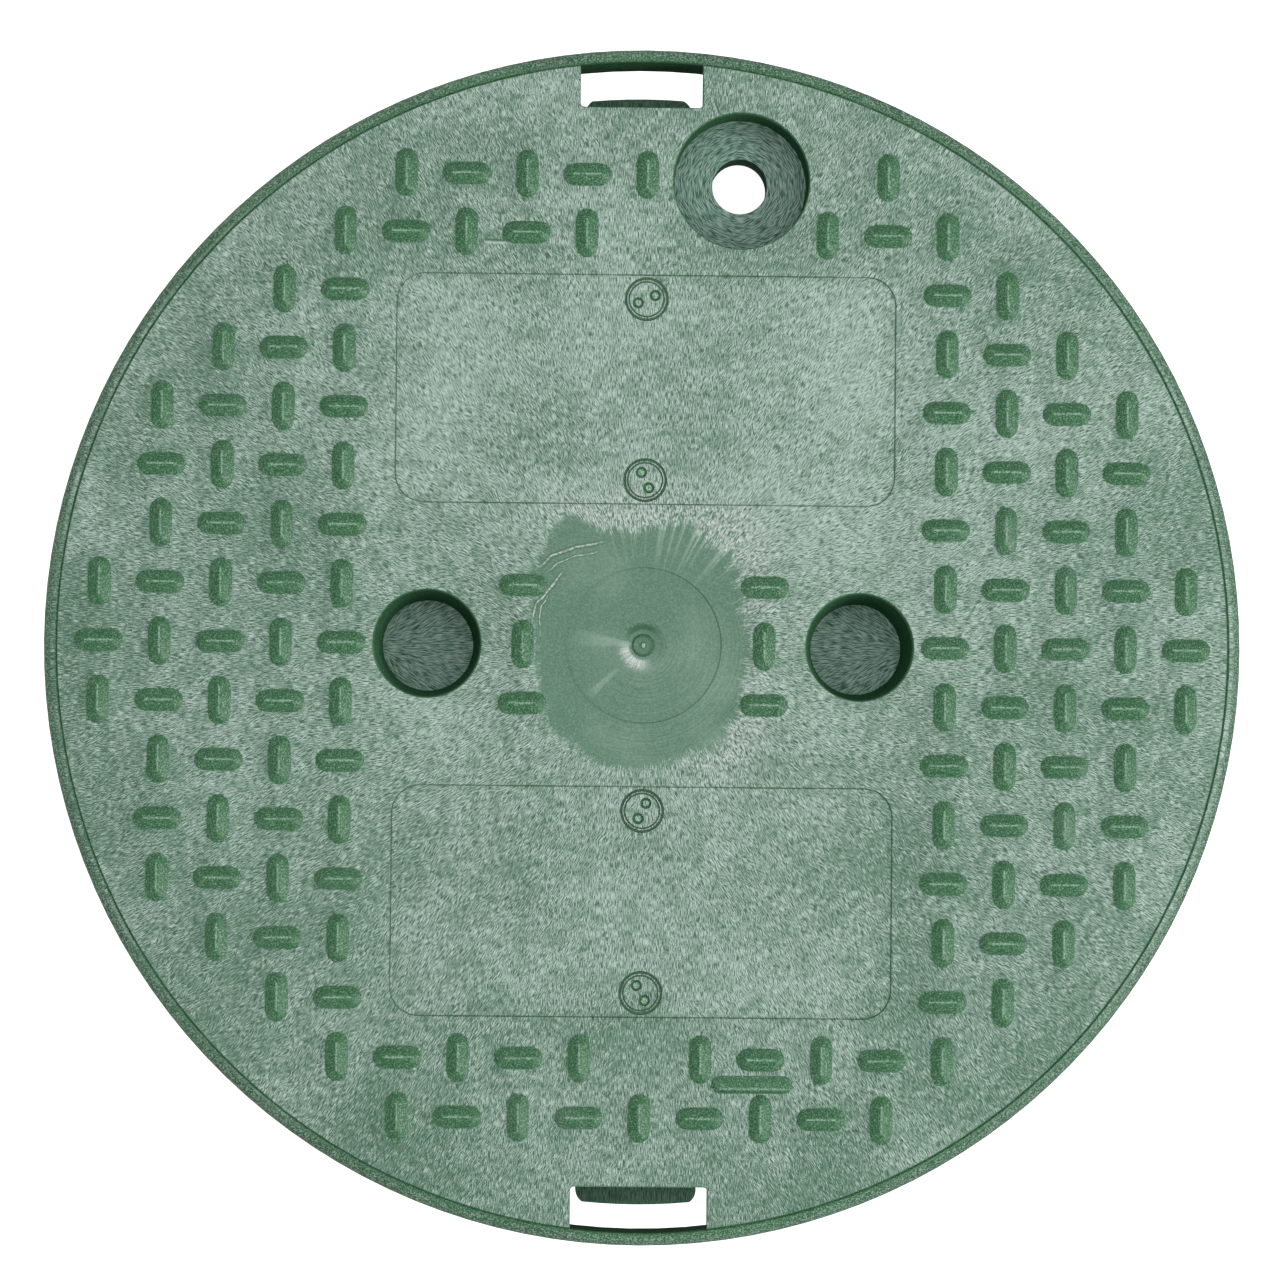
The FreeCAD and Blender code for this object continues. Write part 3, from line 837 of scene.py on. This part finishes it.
def patch_edge(recipe, heading, reach, grain, ragged, radial):
    """How far out a place lies: its reach, changed by bulges, hairs and spikes of the patch."""
    edge = recipe.scaled(ragged, 6.0, reach)
    for angle, low, high, reach_out in PATCH_BULGES:
        edge = recipe.scaled(recipe.sector(heading, angle, low, high), -reach_out, edge)
    edge = recipe.scaled(grain, 8.0, recipe.math("ADD", edge, -2.3))
    spikes = recipe.times(recipe.math("SUBTRACT", radial, 0.5),
                          recipe.scaled(recipe.sector(heading, 25.0, -0.3, 0.6), 3.5, 1.5))
    return recipe.math("ADD", edge, spikes)


def patch_skin(recipe, finish, heading, reach, ragged, radial, fine, soft):
    """Smooth skin within the patch: turning marks, rays, wedge, scratch, and in the dish a
    crescent of painted highlight and an arc of painted shade.
    """
    rings = recipe.noise(recipe.node("ShaderNodeCombineXYZ", {
        0: recipe.times(reach, 2.4), 1: recipe.times(ragged, 2.0)}).outputs[0], 1.0, detail=1.0)
    turned = recipe.sector(heading, -50.0, -0.2, 0.9)
    pale = recipe.times(recipe.rise(rings, 0.35, 0.70), recipe.scaled(turned, 0.08, 0.02))
    pale = recipe.scaled(recipe.rise(fine, 0.35, 0.75), 0.14, pale)
    pale = recipe.scaled(recipe.rise(soft, 0.48, 0.70), 0.14, pale)
    rays = recipe.times(recipe.rise(radial, 0.54, 0.72),
                        recipe.sector(heading, 68.0, 0.60, 0.95), recipe.rise(reach, 13.0, 26.0))
    pale = recipe.scaled(rays, 0.30, pale)
    wedge = recipe.times(recipe.sector(heading, 174.0, 0.985, 0.999),
                         recipe.rise(reach, 17.5, 6.0))
    pale = recipe.scaled(wedge, 0.22, pale)
    scratch = recipe.times(recipe.sector(heading, -137.0, 0.9975, 0.9996),
                           recipe.rise(reach, 7.0, 9.0), recipe.rise(reach, 16.5, 13.0))
    pale = recipe.scaled(scratch, 0.22, pale)
    smooth = recipe.mix(pale, finish.gate, finish.strand)
    # Painted highlight: a bright crescent on the dish's wall toward the front left.
    crescent = recipe.times(recipe.sector(heading, -128.0, 0.35, 0.96),
                            recipe.rise(reach, 2.8, 3.4),
                            recipe.rise(recipe.scaled(fine, 2.4, reach), 7.2, 5.0),
                            recipe.rise(radial, 0.36, 0.54, 0.35, 1.0))
    smooth = recipe.mix(crescent, smooth, finish.glint)
    # Painted shade: a dark arc on the dish's wall toward the back.
    arc = recipe.times(recipe.sector(heading, 97.0, 0.35, 0.95),
                       recipe.rise(reach, 3.1, 3.6),
                       recipe.rise(recipe.scaled(fine, 1.6, reach), 5.8, 5.0),
                       recipe.rise(fine, 0.28, 0.50, 0.6, 1.0))
    return recipe.mix(arc, smooth, finish.wall)


def gate_skin(recipe, finish, place, flat_place, reach, grain, fine, soft, field):
    """Smooth patch about the gate, with a painted sheen along its pale ragged edge, and folds with
    painted highlights on their crests and painted shade at their feet.
    """
    heading = recipe.vector("NORMALIZE", flat_place)
    ragged = recipe.noise(place, 0.10, detail=2.0, roughness=0.65)
    radial = recipe.noise(heading, 26.0, detail=1.0)
    edge = patch_edge(recipe, heading, reach, grain, ragged, radial)
    patch = recipe.rise(edge, 27.9, 29.5, 1.0, 0.0)
    smooth = patch_skin(recipe, finish, heading, reach, ragged, radial, fine, soft)

    # Painted sheen: bright curls just outside the patch's edge, strongest toward three headings.
    halo = recipe.times(recipe.rise(edge, 28.2, 29.6), recipe.rise(edge, 43.0, 31.0))
    sides = recipe.math("MAXIMUM", recipe.sector(heading, 55.0, 0.55, 0.95),
                        recipe.math("MAXIMUM", recipe.sector(heading, -42.0, 0.80, 0.98),
                                    recipe.sector(heading, 100.0, 0.80, 0.99)))
    curls = recipe.noise(place, 1.4, detail=0.0)
    curls = recipe.times(recipe.rise(curls, 0.40, 0.54), recipe.rise(grain, 0.40, 0.50))
    bright = recipe.times(halo, recipe.scaled(sides, 0.80, 0.15), curls)
    field = recipe.mix(recipe.times(bright, 0.75), field, finish.glint)
    skin = recipe.mix(recipe.times(patch, 0.96), field, smooth)

    across, along = recipe.parts(heading)[:2]
    bearing = recipe.math("ARCTAN2", along, across)
    broken = recipe.times(recipe.rise(curls, 0.0, 0.6, 0.35, 1.0), 0.85)
    # Each fold gets painted shade at its foot and a broken painted highlight on its crest.
    for radius, slope, centre, half_angle, half_width in FOLDS:
        along = recipe.math("SUBTRACT", bearing, centre)
        away = recipe.math("SUBTRACT", recipe.scaled(ragged, 2.5, reach), radius)
        away = recipe.math("ABSOLUTE", recipe.scaled(along, -slope, away))
        there = recipe.rise(recipe.math("ABSOLUTE", along), half_angle, 0.6 * half_angle)
        foot = recipe.times(there, recipe.rise(away, 2.6 * half_width, half_width))
        skin = recipe.mix(recipe.times(foot, 0.6), skin, finish.wall)
        crest_highlight = recipe.times(there, recipe.rise(away, half_width, 0.3 * half_width))
        skin = recipe.mix(recipe.times(crest_highlight, broken), skin, finish.glint)
    return skin


def sunk_floor(recipe, finish, grain, height, top):
    """Floors of sockets and recess, in darker strands, and the tops of the catch lugs, which lie
    deep in the slots, greener and darker as painted shade.
    """
    floor = recipe.mix(recipe.rise(grain, 0.34, 0.54), finish.floor_shade, finish.floor)
    floor = recipe.mix(recipe.rise(grain, 0.48, 0.62, 0.0, 0.66), floor, finish.strand)
    # Painted shade: the catch lugs' tops, 16 to 17 mm below the deck, turn toward the darker wall
    # green.
    return recipe.mix(recipe.rise(height, top - 16.0, top - 17.0, 0.0, 0.62), floor, finish.wall)


def plain_skin(recipe, finish, place, normal, height, top, skin, rim_edge, hollow_shade, fine, streaks):
    """Plain green of walls, rim and bars: speckled, with painted shade in the hollows, in grooves
    and on the bars' back faces, and painted highlights along edges.
    """
    facing = recipe.parts(normal)
    ridge = recipe.node("ShaderNodeAttribute", attribute_name="ridge").outputs["Fac"]
    grit = recipe.noise(place, 2.9, detail=1.0, roughness=0.75, solid=True)
    wall = recipe.mix(recipe.rise(streaks, 0.35, 0.70, 0.0, 0.45), finish.wall, finish.bar)
    speckle = recipe.times(recipe.rise(grit, 0.44, 0.66), recipe.scaled(rim_edge, 0.46, 0.16))
    wall = recipe.mix(speckle, wall, finish.strand)
    # Painted shade on the walls of the hollows, darker on walls that face -X, away from the key
    # light.
    unlit = recipe.times(hollow_shade, recipe.scaled(facing[0], -0.35, 0.34))
    wall = recipe.mix(unlit, wall, finish.hollow_shade)
    # Painted shade on the bars' faces that look toward +Y, away from the key light.
    bar = recipe.mix(recipe.times(facing[1], 0.40), finish.bar, finish.wall)
    bar = recipe.mix(recipe.rise(grit, 0.56, 0.38, 0.0, 1.00), bar, finish.wall)
    bar = recipe.mix(recipe.rise(grit, 0.56, 0.70, 0.0, 0.40), bar, finish.strand)
    body = recipe.mix(recipe.rise(height, top - 0.3, top + 0.1), wall, bar)
    # Painted shade in grooves, where the skin value runs over 1.
    body = recipe.mix(recipe.rise(skin, 1.0, 1.5, 0.0, 0.45), body, finish.hollow_shade)
    # Painted highlight along crests, hips and lips, broken by fine noise.
    return recipe.mix(recipe.times(ridge, recipe.rise(fine, 0.34, 0.62, 0.06, 0.50)), body,
                      finish.crest_highlight)


def moulded_plastic(finish, tread):
    """Green moulding compound: strands show on flat skin under a painted sheen of the overhead
    light, every slope is plain green, and hollows, grooves and edges carry painted shade and
    highlights.
    """
    top = (HIGH.z - tread.bar_height) / MM
    recipe = Recipe("green_moulding")
    place = recipe.node("ShaderNodeTexCoord").outputs["Object"]
    place = recipe.vector("SCALE", place, scale=1 / MM)
    height = recipe.parts(place)[2]
    normal = recipe.node("ShaderNodeNewGeometry").outputs["Normal"]
    upward = recipe.parts(normal)[2]
    flat_place = recipe.vector("MULTIPLY", place, (1.0, 1.0, 0.0))
    reach = recipe.vector("LENGTH", flat_place)
    skin = recipe.node("ShaderNodeAttribute", attribute_name="skin").outputs["Fac"]

    sunk = recipe.rise(height, top - 2.0, top - 1.0, 1.0, 0.0)
    on_floor = recipe.times(recipe.rise(upward, 0.80, 0.97), sunk)
    skin = recipe.times(skin, recipe.math("SUBTRACT", 1.0, on_floor))
    flow = melt_flow(recipe, place, flat_place, sunk)
    coarser = recipe.vector("SCALE", place, scale=recipe.scaled(sunk, -0.32, 1.0))
    grain = strands(recipe, coarser, flow)
    fine = recipe.noise(place, 3.3, detail=0.0, solid=True)
    streaks = recipe.noise(place, 0.06, detail=1.0, roughness=0.6, solid=True)

    field = deck_skin(recipe, finish, place, flat_place, reach, grain, fine)
    field = gate_skin(recipe, finish, place, flat_place, reach, grain, fine, streaks, field)
    field = recipe.mix(on_floor, field, sunk_floor(recipe, finish, grain, height, top))
    # Painted: the rim's rounding, tilted from the overhead light, shows plain green without the
    # painted sheen of flat faces.
    backward = recipe.parts(recipe.vector("NORMALIZE", flat_place))[1]
    tilt = recipe.scaled(recipe.math("POWER", backward, 2.0), -0.11, upward)
    rim_edge = recipe.times(recipe.rise(reach, 122.8, 123.3), recipe.rise(tilt, 0.985, 0.84))
    skin = recipe.math("MAXIMUM", skin, rim_edge)

    # Share of painted shade in the sockets, recess and slots below the deck.
    hollow_shade = recipe.times(sunk, hollow_share(recipe, flat_place, reach))
    body = plain_skin(recipe, finish, place, normal, height, top, skin, rim_edge, hollow_shade, fine,
                      streaks)
    uneven = recipe.scaled(hollow_shade, -0.8, 0.8)
    skin = recipe.scaled(recipe.math("SUBTRACT", streaks, 0.5), uneven, skin)
    # Flat skin shows the strands with their painted sheen, plain skin the body colour.
    shown = recipe.mix(recipe.rise(skin, 0.35, 0.95), field, body)
    seam = recipe.rise(recipe.math("ABSOLUTE", recipe.math("SUBTRACT", reach, SEAM_REACH)),
                       0.08, 0.22, 1.0, 0.0)
    shown = recipe.mix(recipe.times(seam, 0.8), shown, finish.wall)
    recipe.put(recipe.shader.inputs["Base Color"], shown)

    matt = recipe.times(hollow_shade, recipe.scaled(on_floor, -0.6, 1.0))
    recipe.put(recipe.shader.inputs["IOR"], recipe.scaled(matt, -0.48, 1.5))
    recipe.put(recipe.shader.inputs["Roughness"], recipe.scaled(grain, -0.30, 0.58))
    bump = recipe.node("ShaderNodeBump", {"Strength": 0.30, "Distance": 0.00012, "Height": fine})
    recipe.put(recipe.shader.inputs["Normal"], bump.outputs[0])
    return recipe.material


def white_floor(glow):
    """White board, bright enough to print as clear white."""
    recipe = Recipe("white_board")
    recipe.shader.inputs["Base Color"].default_value = (0.88, 0.88, 0.88, 1.0)
    recipe.shader.inputs["Roughness"].default_value = 0.8
    recipe.shader.inputs["Emission Color"].default_value = (1.0, 1.0, 1.0, 1.0)
    recipe.shader.inputs["Emission Strength"].default_value = glow
    return recipe.material


class PITCOVER_OT_cover(bpy.types.Operator):
    """Make the moulded cover with its tread, plates, plugs and gate mark"""
    bl_idname = "pitcover.cover"
    bl_label = "Make Cover"

    def execute(self, context):
        scene = context.scene
        mesh = cover_mesh(scene.pitcover_tread, scene.pitcover_deck)
        close_and_smooth(mesh, sharp_deg=38)
        piece = bpy.data.objects.new("moulded_cover", mesh)
        scene.collection.objects.link(piece)
        mesh.materials.append(moulded_plastic(scene.pitcover_finish, scene.pitcover_tread))
        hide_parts(NODE)
        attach(piece, "root")
        return {"FINISHED"}


class PITCOVER_OT_stage(bpy.types.Operator):
    """Set the white floor, the soft lights and the camera"""
    bl_idname = "pitcover.stage"
    bl_label = "Set Stage"

    def execute(self, context):
        settings = context.scene.pitcover_stage
        self.floor(settings)
        self.camera(context, settings)
        self.lights(context, settings)
        return {"FINISHED"}

    def floor(self, settings):
        """Floor a hair below the cover's foot."""
        half = 3.0
        mesh = bpy.data.meshes.new("floor")
        mesh.from_pydata([(-half, -half, 0), (half, -half, 0), (half, half, 0), (-half, half, 0)],
                         [], [(0, 1, 2, 3)])
        mesh.materials.append(white_floor(settings.floor_glow))
        floor = bpy.data.objects.new("floor", mesh)
        floor.location.z = -0.05 * MM
        floor.visible_diffuse = floor.visible_glossy = False
        bpy.context.scene.collection.objects.link(floor)

    def camera(self, context, settings):
        """Camera almost straight above, where the photograph's perspective puts it."""
        place, aim = Vector(settings.camera_place), Vector(settings.camera_aim)
        back = (place - aim).normalized()
        right = Vector((0, 1, 0)).cross(back).normalized()
        turn = Matrix((right, back.cross(right), back)).transposed().to_4x4()
        data = bpy.data.cameras.new("camera")
        data.lens = settings.focal_length
        data.sensor_width = 36.0
        data.clip_end = 20.0
        camera = bpy.data.objects.new("camera", data)
        camera.matrix_world = (Matrix.Translation(place) @ turn
                               @ Matrix.Rotation(settings.camera_roll, 4, "Z"))
        context.scene.collection.objects.link(camera)
        context.scene.camera = camera

    def lights(self, context, settings):
        """A wide soft light overhead, a smaller one from the front right and light all round."""
        spots = (("top_light", (0.0, 0.3, 1.9), 1.6, settings.top_power),
                 ("key_light", (1.10, -0.35, 0.80), 0.7, settings.key_power))
        for name, place, size, power in spots:
            data = bpy.data.lights.new(name, "AREA")
            data.shape = "SQUARE"
            data.size = size
            data.energy = power
            lamp = bpy.data.objects.new(name, data)
            lamp.location = place
            lamp.rotation_euler = Vector(place).to_track_quat("Z", "Y").to_euler()
            context.scene.collection.objects.link(lamp)
        world = bpy.data.worlds.new("studio")
        world.use_nodes = True
        background = world.node_tree.nodes["Background"]
        background.inputs["Color"].default_value = (1.0, 1.0, 1.0, 1.0)
        background.inputs["Strength"].default_value = settings.air_light
        context.scene.world = world
        context.scene.view_settings.view_transform = "Standard"


class PITCOVER_PT_sidebar(bpy.types.Panel):
    """Lists the steps and the values they read"""
    bl_label = "Pit Cover"
    bl_idname = "PITCOVER_PT_sidebar"
    bl_space_type = "VIEW_3D"
    bl_region_type = "UI"
    bl_category = "Pit Cover"

    def draw(self, context):
        for operator in (PITCOVER_OT_cover, PITCOVER_OT_stage):
            self.layout.operator(operator.bl_idname)
        for name, group in GROUPS.items():
            box = self.layout.box()
            values = getattr(context.scene, name)
            for value in group.__annotations__:
                box.prop(values, value)


GROUPS = {
    "pitcover_tread": PITCOVER_PG_tread,
    "pitcover_deck": PITCOVER_PG_deck,
    "pitcover_finish": PITCOVER_PG_finish,
    "pitcover_stage": PITCOVER_PG_stage,
}
CLASSES = (*GROUPS.values(), PITCOVER_OT_cover, PITCOVER_OT_stage, PITCOVER_PT_sidebar)


def register():
    """Registers the classes and hangs each group of values on the scene."""
    for kind in CLASSES:
        bpy.utils.register_class(kind)
    for name, group in GROUPS.items():
        setattr(bpy.types.Scene, name, PointerProperty(type=group))


def unregister():
    """Takes back what register did."""
    for name in GROUPS:
        delattr(bpy.types.Scene, name)
    for kind in reversed(CLASSES):
        bpy.utils.unregister_class(kind)


def main():
    """Makes the cover and its stage."""
    register()
    bpy.ops.pitcover.cover()
    bpy.ops.pitcover.stage()


if __name__ == "__main__":
    main()
